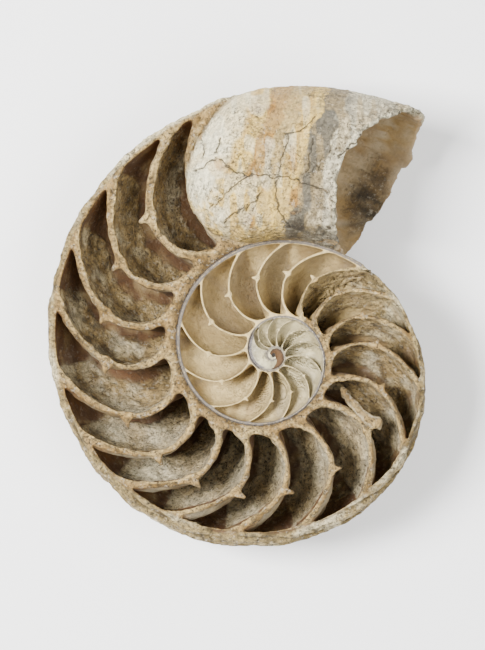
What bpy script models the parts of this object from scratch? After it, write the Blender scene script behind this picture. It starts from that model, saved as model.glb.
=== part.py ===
"""The nautilus shell half: one piece of grown shell, lying on its whole flank with its sawn chambers up.

The shell is made in its own coil frame and then laid down. In the coil frame the coil's axis is Z, the saw
cut is the plane z = 0, and a place is named by three numbers:

  turn    degrees around the axis, anticlockwise from +X. It grows backwards, from the lip (about 60) towards
          the first chamber (about 1100), so that turn + 360 is the whorl inside.
  across  0 on the whorl inside, 1 on the outer wall
  dip     degrees below the coil's mid plane, seen from the centre: 0 at the keel, 90 at the navel
"""

import math

import bmesh
import bpy
from mathutils import Euler, Vector

MM = 0.001

COLLECTION = "nautilus_shell_half"
CUTTERS = "nautilus_cutters"
NODE = "nautilus_shell"

# Distance from the axis to the keel every eighth of a turn, from the lip inwards.
KEEL_START = 60.0
KEEL_STEP = 45.0
KEEL = (
    85.0, 78.1, 71.4, 65.8, 61.0, 56.2, 50.0, 42.5,
    36.6, 33.7, 31.1, 27.3, 23.0, 19.3, 16.5, 14.5,
    12.7, 10.6, 8.5, 6.7, 5.3, 4.3, 3.7, 3.2,
)

# The whorl's outline: a superellipse with the keel at 1 and the flank at FLANK, dished at the navel.
FLANK = 0.40
OUTLINE_POWER = 2.3
NAVEL_DEPTH = 19.0 * MM
NAVEL_START = 56.0

# The saw ran above the mid plane of the coil, further above it towards the foot of the shell.
CUT_ABOVE_MIDDLE = 4.5 * MM
CUT_SLOPE = 0.10

# Each septum's most backward point, in degrees of turn.
SEPTA = (
    117.5, 133.7, 150.8, 168.2, 184.7, 204.9, 223.0, 239.6, 257.2, 276.9, 299.6, 323.1, 344.7, 367.8, 385.5,
    405.5, 423.5, 442.0, 464.0, 488.1, 513.9, 540.8, 568.9, 599.4, 629.2, 657.4, 688.0, 719.0, 748.0, 773.0,
    800.0, 828.0,
)
SEPTUM_DEEPEST = 0.42
SEPTUM_OUTER_SWEEP = 23.0
SEPTUM_INNER_SWEEP = 19.0
SEPTUM_FLANK_SWEEP = 13.0
LAST_SEPTUM_SHARE = 0.55

# Thicknesses, as shares of the keel's radius at that turn.
SEPTUM_THICK = 0.046
INNER_SEPTUM_THICK = 0.036
SEPTUM_FLARE = 0.8

OUTER_WHORL_END = 410.0
WALL = 0.034
DORSAL_WALL = 0.046
INNER_DORSAL_WALL = 0.026
BODY_WALL = 0.024
CHAMBER_DIP = 60.0
CUT_OVERRUN = 4.0 * MM

# The siphuncle's neck on the back of each septum, at the saw cut.
NECK_ACROSS = 0.56
NECK_LENGTH = 0.034

# The lip on the far side and on the near side, and how far each runs back or forward on the flank.
FAR_LIP = 58.0
FAR_LIP_FORWARD = 6.0
NEAR_LIP = 59.0
NEAR_LIP_BACK = 11.5
LIP_OVERRUN = 14.0

# The near wall of the body chamber, which the saw left whole.
DOME_HEIGHT = 23.0 * MM
DOME_ROOT = 3.0 * MM
DOME_INSET = 0.45 * MM
DOME_SHOULDER = 0.45
DOME_PEAK_POWER = 0.66
DOME_FULLNESS = 0.55

RING_TURNS = 49
RING_DIPS = (0.0, 7.0, 14.0, 22.0, 31.0, 41.0, 52.0, 63.0, 76.0, 90.0)
COARSE_ACROSS = (0.0, 0.2, 0.45, NECK_ACROSS, 0.67, 1.0)
FINE_ACROSS = (0.0, 0.1, 0.28, 0.49, NECK_ACROSS, 0.63, 0.82, 1.0)

# How the saw cut leans when the shell lies at rest on its flank, in degrees about X and then Y.
LAID_TILT = (-0.7, -8.4)


def keel(turn):
    """Radius of the keel: a smooth curve through the logarithms of KEEL."""
    place = (turn - KEEL_START) / KEEL_STEP
    first = min(max(int(math.floor(place)), 0), len(KEEL) - 2)
    share = place - first
    logs = [math.log(KEEL[min(max(first + step, 0), len(KEEL) - 1)]) for step in (-1, 0, 1, 2)]
    if first == 0:
        logs[0] = 2 * logs[1] - logs[2]
    if first == len(KEEL) - 2:
        logs[3] = 2 * logs[2] - logs[1]
    before, start, end, after = logs
    curve = start + 0.5 * share * (
        end - before
        + share * (2 * before - 5 * start + 4 * end - after + share * (3 * (start - end) + after - before))
    )
    return math.exp(curve) * MM


def outline(dip):
    """Distance from the coil's centre to the outline, as a share of the keel's radius."""
    angle = math.radians(abs(dip))
    along = max(math.cos(angle), 0.0) ** OUTLINE_POWER
    below = (math.sin(angle) / FLANK) ** OUTLINE_POWER
    return (along + below) ** (-1.0 / OUTLINE_POWER)


def smooth_step(low, high, value):
    share = min(max((value - low) / (high - low), 0.0), 1.0)
    return share * share * (3.0 - 2.0 * share)


def outer_reach(turn, dip):
    """Distance from the coil's centre to the shell's surface, with the whorls' flanks run together at the navel."""
    reach = keel(turn) * outline(dip)
    navel = smooth_step(NAVEL_START, 90.0, dip)
    return reach + (NAVEL_DEPTH - reach) * navel


def inner_reach(turn, dip):
    return keel(turn + 360.0) * outline(dip)


def cut_above(turn, radius):
    """How far the saw cut is above the coil's mid plane at a place on the cut."""
    return max(CUT_ABOVE_MIDDLE - CUT_SLOPE * radius * math.sin(math.radians(turn)), 0.0)


def place(turn, dip, reach):
    """The point at this reach from the coil's centre."""
    radius = reach * math.cos(math.radians(dip))
    height = -reach * math.sin(math.radians(dip)) - cut_above(turn, radius)
    angle = math.radians(turn)
    return Vector((radius * math.cos(angle), radius * math.sin(angle), height))


def on_cut(turn, radius, height=0.0):
    angle = math.radians(turn)
    return Vector((radius * math.cos(angle), radius * math.sin(angle), height))


def cut_radius(turn):
    """Radius of the whorl's outer surface where the saw cut meets it."""
    whole = keel(turn)
    above = cut_above(turn, whole) / (FLANK * whole)
    return whole * (1.0 - min(above, 0.9) ** OUTLINE_POWER) ** (1.0 / OUTLINE_POWER)


def septum_sweep(across):
    """Degrees by which a septum runs forward of its deepest point, at the saw cut."""
    if across > SEPTUM_DEEPEST:
        return SEPTUM_OUTER_SWEEP * ((across - SEPTUM_DEEPEST) / (1.0 - SEPTUM_DEEPEST)) ** 1.6
    return SEPTUM_INNER_SWEEP * ((SEPTUM_DEEPEST - across) / SEPTUM_DEEPEST) ** 3.4


def septum_turn(number, across, dip):
    """The turn of a septum's middle surface, a dish that is hollow towards the lip."""
    share = LAST_SEPTUM_SHARE if number == 0 else 1.0
    flank = SEPTUM_FLANK_SWEEP * (max(dip, 0.0) / CHAMBER_DIP) ** 2
    return SEPTA[number] - share * septum_sweep(across) - flank


def half_thick(number, across):
    """Half of a septum's thickness, in degrees of turn. It flares towards both walls."""
    share = SEPTUM_THICK if SEPTA[number] < OUTER_WHORL_END else INNER_SEPTUM_THICK
    return math.degrees(0.5 * share * (1.0 + SEPTUM_FLARE * abs(across - SEPTUM_DEEPEST)))


def block(name, point, counts):
    """A closed solid bent from a box of counts cells; point(i, j, k) places its surface's grid."""
    mesh = bmesh.new()
    grid = {}

    def vertex(*index):
        if index not in grid:
            grid[index] = mesh.verts.new(point(*index))
        return grid[index]

    for axis in range(3):
        one, two = (axis + 1) % 3, (axis + 2) % 3
        for side in (0, counts[axis]):
            for a in range(counts[one]):
                for b in range(counts[two]):
                    corners = []
                    for step_a, step_b in ((0, 0), (1, 0), (1, 1), (0, 1)):
                        index = [0, 0, 0]
                        index[axis], index[one], index[two] = side, a + step_a, b + step_b
                        corners.append(vertex(*index))
                    mesh.faces.new(corners if side else corners[::-1])
    bmesh.ops.recalc_face_normals(mesh, faces=mesh.faces)
    data = bpy.data.meshes.new(name)
    mesh.to_mesh(data)
    mesh.free()
    return bpy.data.objects.new(name, data)


def shell_body():
    """The outer form: rings of the outline around the axis, closed by the saw cut and by the step at the lip."""
    mesh = bmesh.new()
    navel = mesh.verts.new((0.0, 0.0, -NAVEL_DEPTH - CUT_ABOVE_MIDDLE))
    rings = []
    for number in range(RING_TURNS):
        turn = FAR_LIP + 360.0 * number / (RING_TURNS - 1)
        top = -math.degrees(math.atan2(cut_above(turn, keel(turn)), cut_radius(turn)))
        ring = [mesh.verts.new(on_cut(turn, cut_radius(turn)))]
        for angle in RING_DIPS[1:-1]:
            dip = top + (90.0 - top) * angle / 90.0
            forward = FAR_LIP_FORWARD * math.sin(math.radians(2.0 * max(dip, 0.0))) if number == 0 else 0.0
            ring.append(mesh.verts.new(place(turn - forward, dip, outer_reach(turn - forward, dip))))
        rings.append(ring + [navel])
    for one, two in list(zip(rings[:-1], rings[1:])) + [(rings[-1], rings[0])]:
        for step in range(len(one) - 2):
            mesh.faces.new((one[step], one[step + 1], two[step + 1], two[step]))
        mesh.faces.new((one[-2], navel, two[-2]))
    mesh.faces.new([ring[0] for ring in rings])
    bmesh.ops.recalc_face_normals(mesh, faces=mesh.faces)
    data = bpy.data.meshes.new(NODE)
    mesh.to_mesh(data)
    mesh.free()
    return bpy.data.objects.new(NODE, data)


def near_lip(across):
    return NEAR_LIP + NEAR_LIP_BACK * math.sin(math.pi * across) ** 0.8


def dome_height(across, along):
    """Height of the near wall above the saw cut: along is 0 at the last septum and 1 at the lip."""
    width = max(math.sin(math.pi * across ** DOME_PEAK_POWER), 0.0) ** DOME_FULLNESS
    rise = min(along / DOME_SHOULDER, 1.0)
    return DOME_HEIGHT * width * math.sqrt(max(1.0 - (1.0 - rise) ** 2, 0.0))


def near_wall():
    """The near wall of the body chamber, as a solid dome that the body chamber then hollows."""
    columns, rows = 12, 9

    def point(i, j, k):
        across, along = i / columns, k / rows
        back = septum_turn(0, across, 0.0) + half_thick(0, across)
        turn = back + (near_lip(across) - back) * along
        low = cut_radius(turn + 360.0) + DOME_INSET
        radius = low + (cut_radius(turn) - DOME_INSET - low) * across
        return on_cut(turn, radius, dome_height(across, along) + 0.1 * MM if j else -DOME_ROOT)

    return block("near_wall", point, (columns, 1, rows))


def chamber_reach(turn, across, dip, wall, dorsal):
    low = inner_reach(turn, dip) + dorsal * keel(turn)
    high = outer_reach(turn, dip) - wall * keel(turn)
    return low + (high - low) * across


def chamber_point(turn, across, dip, wall, dorsal):
    return place(turn, dip, chamber_reach(turn, across, dip, wall, dorsal))


def rim_point(turn, across, wall, dorsal, height):
    """A point straight above or on the saw cut, over the chamber's top."""
    low = cut_radius(turn + 360.0) + dorsal * keel(turn)
    high = cut_radius(turn) - wall * keel(turn)
    return on_cut(turn, low + (high - low) * across, height)


def chamber(number):
    """The hollow between septum number - 1 and septum number."""
    outer = SEPTA[number] < OUTER_WHORL_END
    spread = FINE_ACROSS if outer else COARSE_ACROSS
    dips = (0.0, 12.0, 25.0, 42.0, CHAMBER_DIP) if outer else (0.0, 18.0, 38.0, CHAMBER_DIP)
    dorsal = DORSAL_WALL if outer else INNER_DORSAL_WALL
    along = 3 if outer else 2

    def point(i, j, k):
        across = spread[i]
        dip = dips[max(j - 1, 0)]
        front = septum_turn(number - 1, across, dip) + half_thick(number - 1, across)
        if across == NECK_ACROSS and j < 2:
            front += math.degrees(NECK_LENGTH)
        back = septum_turn(number, across, dip) - half_thick(number, across)
        turn = front + (back - front) * k / along
        if j < 2:
            return rim_point(turn, across, WALL, dorsal, CUT_OVERRUN if j == 0 else 0.0)
        return chamber_point(turn, across, dip, WALL, dorsal)

    return block(f"chamber_{number:02d}", point, (len(spread) - 1, len(dips), along))


def body_chamber():
    """The open hollow in front of the last septum, with the near wall over it."""
    spread = (0.0, 0.08, 0.2, 0.36, 0.5, 0.64, 0.8, 0.92, 1.0)
    dips = (0.0, 12.0, 24.0, 38.0, 50.0, CHAMBER_DIP)
    along = 8

    def point(i, j, k):
        across = spread[i]
        dip = dips[max(j - 1, 0)]
        back = septum_turn(0, across, dip) - half_thick(0, across)
        turn = back + (FAR_LIP - LIP_OVERRUN - back) * k / along
        if j == 0:
            roof = dome_height(across, min(k / along * 1.25, 1.0)) - BODY_WALL * keel(turn)
            return rim_point(turn, across, BODY_WALL, BODY_WALL, max(roof, 0.4 * MM))
        if j == 1:
            return rim_point(turn, across, BODY_WALL, BODY_WALL, 0.0)
        return chamber_point(turn, across, dip, BODY_WALL, BODY_WALL)

    return block("body_chamber", point, (len(spread) - 1, len(dips), along))


def shell_material():
    material = bpy.data.materials.new("old_shell")
    material.use_nodes = True
    shader = material.node_tree.nodes["Principled BSDF"]
    shader.inputs["Base Color"].default_value = (0.56, 0.46, 0.33, 1.0)
    shader.inputs["Roughness"].default_value = 0.7
    shader.inputs["Metallic"].default_value = 0.0
    return material


def combine(target, other, operation):
    modifier = target.modifiers.new(other.name, "BOOLEAN")
    modifier.operation = operation
    modifier.solver = "EXACT"
    modifier.object = other


def lay_down(shell, forms):
    """Turns the shell onto its flank, stands it on z = 0 and centres its box over the origin."""
    turned = Euler([math.radians(angle) for angle in (*LAID_TILT, 0.0)])
    points = [turned.to_matrix() @ vertex.co for form in forms for vertex in form.data.vertices]
    low = [min(point[axis] for point in points) for axis in range(3)]
    high = [max(point[axis] for point in points) for axis in range(3)]
    shell.rotation_euler = turned
    shell.location = (-0.5 * (low[0] + high[0]), -0.5 * (low[1] + high[1]), -low[2])


def main():
    for old in list(bpy.data.objects):
        bpy.data.objects.remove(old)
    shown = bpy.data.collections.new(COLLECTION)
    hidden = bpy.data.collections.new(CUTTERS)
    bpy.context.scene.collection.children.link(shown)
    bpy.context.scene.collection.children.link(hidden)

    shell = shell_body()
    shown.objects.link(shell)
    shell.data.materials.append(shell_material())

    near = near_wall()
    lay_down(shell, (shell, near))
    tools = [(near, "UNION"), (body_chamber(), "DIFFERENCE")]
    tools += [(chamber(number), "DIFFERENCE") for number in range(1, len(SEPTA))]
    for tool, operation in tools:
        hidden.objects.link(tool)
        tool.parent = shell
        tool.hide_render = True
        tool.display_type = "WIRE"
        combine(shell, tool, operation)


main()
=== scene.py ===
import math
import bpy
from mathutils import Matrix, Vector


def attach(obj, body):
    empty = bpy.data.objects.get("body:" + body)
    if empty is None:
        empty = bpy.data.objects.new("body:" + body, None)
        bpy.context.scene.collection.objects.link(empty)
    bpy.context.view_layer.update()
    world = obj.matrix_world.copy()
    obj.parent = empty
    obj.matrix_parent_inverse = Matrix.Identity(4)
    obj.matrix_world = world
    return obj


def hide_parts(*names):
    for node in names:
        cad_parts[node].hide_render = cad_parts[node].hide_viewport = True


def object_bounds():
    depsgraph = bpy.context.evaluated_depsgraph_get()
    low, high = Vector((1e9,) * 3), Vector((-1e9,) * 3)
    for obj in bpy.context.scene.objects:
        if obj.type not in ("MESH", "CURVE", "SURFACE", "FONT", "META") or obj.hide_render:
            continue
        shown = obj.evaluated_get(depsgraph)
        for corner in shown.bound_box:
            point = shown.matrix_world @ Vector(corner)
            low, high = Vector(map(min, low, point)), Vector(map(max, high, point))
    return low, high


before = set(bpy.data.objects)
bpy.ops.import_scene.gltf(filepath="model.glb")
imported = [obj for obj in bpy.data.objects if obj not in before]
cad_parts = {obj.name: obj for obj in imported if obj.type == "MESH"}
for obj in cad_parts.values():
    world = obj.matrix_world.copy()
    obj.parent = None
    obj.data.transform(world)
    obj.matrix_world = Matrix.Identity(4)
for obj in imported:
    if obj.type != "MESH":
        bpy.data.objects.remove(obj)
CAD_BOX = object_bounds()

from types import SimpleNamespace as Places

import bpy
import numpy as np
from mathutils import Euler, Matrix, Vector

# The old nautilus shell half, as it looks: walls, septa, cracks, dirt, colour and painted light and shade
# over the plain part.
# The shell is one smooth field of distances, which is filled into grids and turned into meshes. Its numbers
# are millimetres in the coil frame of the part: the coil's axis is Z, the saw cut is z = 0, and a turn grows
# backwards from the lip, so that turn + 360 is the whorl inside.

NODE = "nautilus_shell"

MM = 0.001
RADIAN = math.pi / 180.0

# The coil, with the same values as the part.
KEEL_START = 60.0
KEEL_STEP = 45.0
KEEL = (
    85.0, 78.1, 71.4, 65.8, 61.0, 56.2, 50.0, 42.5,
    36.6, 33.7, 31.1, 27.3, 23.0, 19.3, 16.5, 14.5,
    12.7, 10.6, 8.5, 6.7, 5.3, 4.3, 3.7, 3.2,
)
FLANK = 0.40
OUTLINE_POWER = 2.3
NAVEL_DEPTH = 19.0
NAVEL_START = 56.0
CUT_ABOVE_MIDDLE = 4.5
CUT_SLOPE = 0.10
CUT_THROUGH_MIDDLE = 15.0
CUT_CLEAR_OF_MIDDLE = 55.0
SEPTA = (
    117.5, 133.7, 150.8, 168.2, 184.7, 204.9, 223.0, 239.6, 257.2, 276.9, 299.6, 323.1, 344.7, 367.8, 385.5,
    405.5, 423.5, 442.0, 464.0, 488.1, 513.9, 540.8, 568.9, 599.4, 629.2, 657.4, 688.0, 719.0, 748.0, 773.0,
    800.0, 828.0, 856.0,
)
FIRST_CHAMBER = 872.0
INNER_WHORLS = 423.5
NUCLEUS_START = 786.0
SEPTUM_DEEPEST = 0.42
SEPTUM_OUTER_SWEEP = 23.0
SEPTUM_INNER_SWEEP = 19.0
SEPTUM_FLANK_SWEEP = 15.0
LAST_SEPTUM_SHARE = 0.55
OUTER_WHORL_END = 410.0
CHAMBER_DIP = 60.0
FAR_LIP = 58.0
FAR_LIP_FORWARD = 6.0
NEAR_LIP = 59.0
NEAR_LIP_BACK = 11.5
SEAM = 45.0

# Thicknesses, as shares of the keel's radius at that turn.
SEPTUM_THICK = 0.026
INNER_SEPTUM_THICK = 0.016
SEPTUM_FLARE = 0.8
WALL = 0.034
DORSAL_WALL = 0.046
INNER_DORSAL_WALL = 0.020
BODY_WALL = 0.024

# The siphuncle's neck on the back of each septum.
NECK_ACROSS = 0.56
NECK_LENGTH = 0.046
NECK_WIDE = 0.024
NECK_DEPTH = 0.012
NECK_ALONG = 0.97
NECK_OUTWARD = 0.22

# The near wall of the body chamber: an oval form that is 1 on the outer skin.
DOME_HEIGHT = 23.0
DOME_POWER = 2.2
DOME_MIDDLE = 92.0
DOME_WALL = 0.09
DOME_ROOT = 2.5
DOME_END = 125.0
FORM_IN_MM = 20.0

# A broken length of siphuncle in one of the outer chambers.
STUB = ((21.4, -11.3, 1.3), (25.3, -16.1, 1.2), (28.3, -19.1, 1.4), (30.8, -20.3, 2.0))
STUB_DEPTH = 2.6

# What each vertex tells the material, beside its colour.
MARKS = ("grain", "gloss", "beside", "past", "growth", "seam", "sawn", "east", "north")
BOX_MARGIN = 0.00002

# The brown comma of the first chamber: its reach from the coil's axis shrinks as it winds from its tail.
COMMA_TAIL = 100.0
COMMA_REACH = 4.3
COMMA_SHRINK = 0.72
COMMA_OPENS = 3.6
HOLE = 0.55

# How far the saw cut sinks between the walls and along the seam of the first whorl, where it is worn.
WORN_FROM = 1.0
WORN_SHARE = 0.45
WORN_MOST = 1.2
SEAM_DEPTH = 0.12

# The dark double line of the wall between two whorls: its middle lies this far inside the seam.
WALL_LINE_IN = 0.35
WALL_LINE_APART = 0.34

# How much slower the streaks change along the lines of growth than across them.
STREAK_STRETCH = 0.12

# Where the coil frame lies in the row frame, and the camera that the photograph was taken from.
LAID_TILT = (-0.7, -8.4, 0.0)
COIL_AT = (9.909, -11.348, 33.712)
CAMERA_AWAY = 750.0
PHOTO_TALL = 195.0
PHOTO_MIDDLE = (-9.3, 9.06)

# The studio: each light's name, place in metres, power and size, the world around and the floor.
LIGHTS = (("key", (-0.58, 0.10, 0.78), 33.0, 0.30), ("fill", (0.45, -0.25, 0.95), 13.0, 0.8))
WORLD_COLOUR = (1.0, 0.99, 0.97, 1.0)
WORLD_STRENGTH = 0.68
FLOOR_PALE = (0.92, 0.92, 0.92, 1.0)

# Cracks of the near wall, where the camera sees them.
CRACKS = (
    ((-19.1, 44.2), (-15.4, 46.6), (-14.5, 48.7), (-10.0, 52.3), (-7.9, 53.8), (-4.6, 54.1), (-1.6, 54.4),
     (-1.1, 53.5), (3.4, 53.2), (7.9, 52.4), (12.4, 50.2), (16.3, 49.0)),
    ((1.1, 52.6), (0.4, 49.0), (1.6, 43.6), (3.8, 40.0), (5.2, 38.2)),
    ((-8.2, 43.0), (-5.5, 46.6), (-3.4, 48.7)),
    ((-15.1, 40.0), (-11.2, 42.7), (-8.2, 44.8)),
    ((12.8, 71.5), (9.2, 68.2), (7.9, 67.3), (3.4, 66.4)),
    ((4.3, 66.4), (3.8, 63.1), (2.9, 60.1), (1.6, 54.7)),
    ((-22.1, 65.5), (-20.6, 60.7), (-21.1, 59.2)),
    ((-24.1, 55.3), (-21.1, 56.2), (-18.1, 58.9), (-15.4, 58.6), (-12.2, 55.3), (-7.9, 53.8)),
    ((-15.8, 64.9), (-17.6, 61.0)),
    ((30.4, 69.7), (28.1, 66.1), (23.6, 63.7), (19.3, 59.2)),
    ((11.8, 64.6), (10.9, 58.6), (10.0, 55.0)),
)


def keel_table():
    """Turns and the keel's radius at each: the part's smooth curve, carried on at both ends."""
    turns = np.arange(SEAM - 15.0, 1600.0, 0.5)
    logs = np.log(np.array(KEEL))
    logs = np.concatenate(([2 * logs[0] - logs[1]], logs, [2 * logs[-1] - logs[-2]]))
    last = len(KEEL) - 1
    place = np.clip((turns - KEEL_START) / KEEL_STEP, 0.0, last)
    first = np.minimum(np.floor(place).astype(int), last - 1)
    share = place - first
    before, start, end, after = (logs[first + step] for step in range(4))
    curve = start + 0.5 * share * (
        end - before
        + share * (2 * before - 5 * start + 4 * end - after + share * (3 * (start - end) + after - before))
    )
    past = (turns - KEEL_START) / KEEL_STEP - place
    curve += np.where(past < 0.0, past * (logs[2] - logs[1]), past * (logs[-1] - logs[-2]))
    return turns, np.exp(curve)


KEEL_TURNS, KEEL_RADII = keel_table()


def keel(turn):
    return np.interp(turn, KEEL_TURNS, KEEL_RADII).astype(np.float32)


def ease(low, high, value):
    share = np.clip((value - low) / (high - low), 0.0, 1.0)
    return share * share * (3.0 - 2.0 * share)


def smooth_min(one, two, blend):
    near = np.maximum(blend - np.abs(one - two), 0.0) / blend
    return np.minimum(one, two) - near * near * blend * 0.25


def smooth_max(one, two, blend):
    return -smooth_min(-one, -two, blend)


class Lumps:
    """Smooth random lumps of one size: a lattice of random numbers between -1 and 1."""

    COUNT = 32

    def __init__(self, seed, size):
        self.size = size
        self.values = np.random.default_rng(seed).uniform(-1.0, 1.0, (self.COUNT,) * 3).astype(np.float32)

    def split(self, value):
        place = np.asarray(value, np.float32) / self.size
        low = np.floor(place)
        share = place - low
        return low.astype(np.int32), share * share * (3.0 - 2.0 * share)

    def __call__(self, x, y, z):
        """At points given one by one, or over a whole grid given by its three lines of places."""
        if np.ndim(x) == 3 and x.shape[1] == 1:
            return self.over_grid(x, y, z)
        splits = [self.split(value) for value in (x, y, z)]
        total = 0.0
        for step in range(8):
            bits = (step & 1, step >> 1 & 1, step >> 2 & 1)
            weight = 1.0
            index = []
            for (low, share), bit in zip(splits, bits):
                weight = weight * (share if bit else 1.0 - share)
                index.append((low + bit) % self.COUNT)
            total = total + weight * self.values[tuple(index)]
        return total

    def over_grid(self, x, y, z):
        block = self.values
        for axis, line in enumerate((x, y, z)):
            low, share = self.split(line.ravel())
            one = np.take(block, low % self.COUNT, axis=axis)
            two = np.take(block, (low + 1) % self.COUNT, axis=axis)
            shape = [1, 1, 1]
            shape[axis] = -1
            block = one + (two - one) * share.reshape(shape)
        return block


BROAD = Lumps(11, 13.0)
WIDE = Lumps(12, 6.0)
MEDIUM = Lumps(13, 2.6)
FINE = Lumps(14, 1.3)
GRIT = Lumps(15, 0.7)
LAYERS = Lumps(16, 1.0)


def septum_sweep(across):
    """Degrees that a septum runs forward of its deepest point, and how fast they change across the whorl."""
    outer = np.clip((across - SEPTUM_DEEPEST) / (1.0 - SEPTUM_DEEPEST), 0.0, 1.3)
    inner = np.clip((SEPTUM_DEEPEST - across) / SEPTUM_DEEPEST, 0.0, 1.3)
    sweep = SEPTUM_OUTER_SWEEP * outer ** 1.6 + SEPTUM_INNER_SWEEP * inner ** 3.4
    slope = (
        SEPTUM_OUTER_SWEEP * 1.6 / (1.0 - SEPTUM_DEEPEST) * outer ** 0.6
        - SEPTUM_INNER_SWEEP * 3.4 / SEPTUM_DEEPEST * inner ** 2.4
    )
    return sweep, slope


def coil_places(x, y, z):
    """Where points are on the coil. Takes a grid's three lines as well, which broadcast."""
    rho = np.hypot(x, y)
    theta = np.degrees(np.arctan2(y, x))
    theta = np.where(theta < SEAM, theta + 360.0, theta).astype(np.float32)
    clear = ease(CUT_THROUGH_MIDDLE, CUT_CLEAR_OF_MIDDLE, np.hypot(rho, z / FLANK))
    height = z + clear * np.maximum(CUT_ABOVE_MIDDLE - CUT_SLOPE * y, 0.0)
    reach = np.sqrt(rho * rho + height * height) + 1e-6
    sine = np.abs(height) / reach
    cosine = rho / reach
    shape = (cosine ** OUTLINE_POWER + (sine / FLANK) ** OUTLINE_POWER) ** (-1.0 / OUTLINE_POWER)
    dip = np.degrees(np.arcsin(np.clip(-height / reach, -1.0, 1.0)))
    equal = reach / shape
    radii = [keel(theta + 360.0 * whorl) for whorl in range(6)]
    whorl = np.zeros(equal.shape, np.float32)
    outer, inner = radii[0], radii[1]
    for number in range(1, 5):
        within = equal < radii[number]
        whorl = whorl + within
        outer = np.where(within, radii[number], outer)
        inner = np.where(within, radii[number + 1], inner)
    return Places(
        rho=rho, theta=theta, turn=theta + 360.0 * whorl, whorl=whorl, reach=reach, shape=shape, dip=dip,
        across=(equal - inner) / np.maximum(outer - inner, 0.01), equal=equal, outer=outer, inner=inner,
        radii=radii,
    )


def hollow_walls(coil, x, y, z):
    """Distances from a point in a chamber to the walls around it, and its place between the septa."""
    outer, shape, dip, across = coil.outer, coil.shape, coil.dip, coil.across
    sweep, slope = septum_sweep(np.clip(across, 0.0, 1.0))
    deep = np.maximum(dip, 0.0) / CHAMBER_DIP
    plain = coil.turn + SEPTUM_FLANK_SWEEP * deep ** 2
    unswept = plain + sweep
    width = (outer - coil.inner) * shape + 0.05
    arc = 1.0 / (RADIAN * np.maximum(coil.rho, 0.2))
    bend = 2.0 * SEPTUM_FLANK_SWEEP * deep / (CHAMBER_DIP * RADIAN * coil.reach)
    rate = np.sqrt(arc * arc + (slope / width) ** 2 + bend * bend)
    late = coil.turn < OUTER_WHORL_END
    share = np.where(late, SEPTUM_THICK, INNER_SEPTUM_THICK)
    wear = 1.0 + np.where(late, 0.22, 0.06) * WIDE(x, y, z) + np.where(late, 0.16, 0.05) * MEDIUM(x, y, z)
    half = 0.5 * share * outer * (1.0 + SEPTUM_FLARE * np.abs(across - SEPTUM_DEEPEST)) * wear
    septa = np.array(SEPTA, np.float32)
    number = np.searchsorted(septa, unswept.ravel()).reshape(unswept.shape)
    ends = np.concatenate(([-999.0], septa, [9999.0])).astype(np.float32)
    front = (unswept - ends[number]) / rate - half
    back = (ends[number + 1] - unswept) / rate - half
    last_rate = np.sqrt(arc * arc + (LAST_SEPTUM_SHARE * slope / width) ** 2 + bend * bend)
    past_last = (plain + LAST_SEPTUM_SHARE * sweep - SEPTA[0]) / last_rate
    first_whorl = coil.whorl < 1
    in_body = (past_last < 0.0) & first_whorl
    front = np.where((number <= 1) & first_whorl, past_last - half, front)
    front = np.where(in_body, 99.0, front)
    back = np.where(in_body, -past_last - half, back)
    back = np.where(unswept > FIRST_CHAMBER, -0.4, back)
    dorsal = np.where(in_body, BODY_WALL, np.where(late, DORSAL_WALL, INNER_DORSAL_WALL))
    wall = np.where(in_body, BODY_WALL, WALL)
    return Places(
        front=front, back=back, in_body=in_body, unswept=unswept,
        outside=(outer - coil.equal) * shape - wall * outer * np.maximum(shape, 0.8),
        inside=(coil.equal - coil.inner) * shape - dorsal * outer * np.maximum(shape, 0.8),
        floor=(CHAMBER_DIP - dip) * RADIAN * coil.reach,
    )


def hollow(coil, walls):
    """Distance into the chambers, with the corners between walls and septa filled out."""
    blend = np.clip(0.022 * coil.outer, 0.10, 1.5)
    void = smooth_min(walls.front, walls.back, blend)
    void = smooth_min(void, walls.inside, blend * 2.2)
    void = smooth_min(void, walls.outside, blend)
    return smooth_min(void, walls.floor, blend * 2.0)


def window_around(lines, centre, span):
    """The part of a grid near a point: its slices, and the places in it measured from the point."""
    ranges = [np.searchsorted(line, (middle - span, middle + span)) for line, middle in zip(lines, centre)]
    if any(low >= high for low, high in ranges):
        return None, None
    window = tuple(slice(low, high) for low, high in ranges)
    local = [line[part] - middle for line, part, middle in zip(lines, window, centre)]
    return window, np.meshgrid(*local, indexing="ij")


def add_necks(void, lines):
    """The siphuncle's neck on each septum's back, a short blunt cone along the coil."""
    for place in SEPTA[1:]:
        sweep, _ = septum_sweep(np.array(NECK_ACROSS))
        turn = place - float(sweep)
        size = float(keel(turn))
        inner = float(keel(turn + 360.0))
        radius = inner + (size - inner) * NECK_ACROSS
        angle = math.radians(turn)
        sine, cosine = math.sin(angle), math.cos(angle)
        way = (NECK_OUTWARD * cosine - NECK_ALONG * sine, NECK_ALONG * cosine + NECK_OUTWARD * sine)
        centre = (radius * cosine, radius * sine, -NECK_DEPTH * size)
        length, wide = NECK_LENGTH * size, NECK_WIDE * size
        window, local = window_around(lines, centre, length + wide + 1.0)
        if window is None:
            continue
        along = np.clip((local[0] * way[0] + local[1] * way[1]) / length, 0.0, 1.0)
        east, north = (local[axis] - along * length * way[axis] for axis in range(2))
        gap = np.sqrt(east ** 2 + north ** 2 + local[2] ** 2)
        cone = gap - wide * (1.0 - 0.6 * along)
        void[window] = smooth_min(void[window], cone.astype(np.float32), 0.022 * size)


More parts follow.
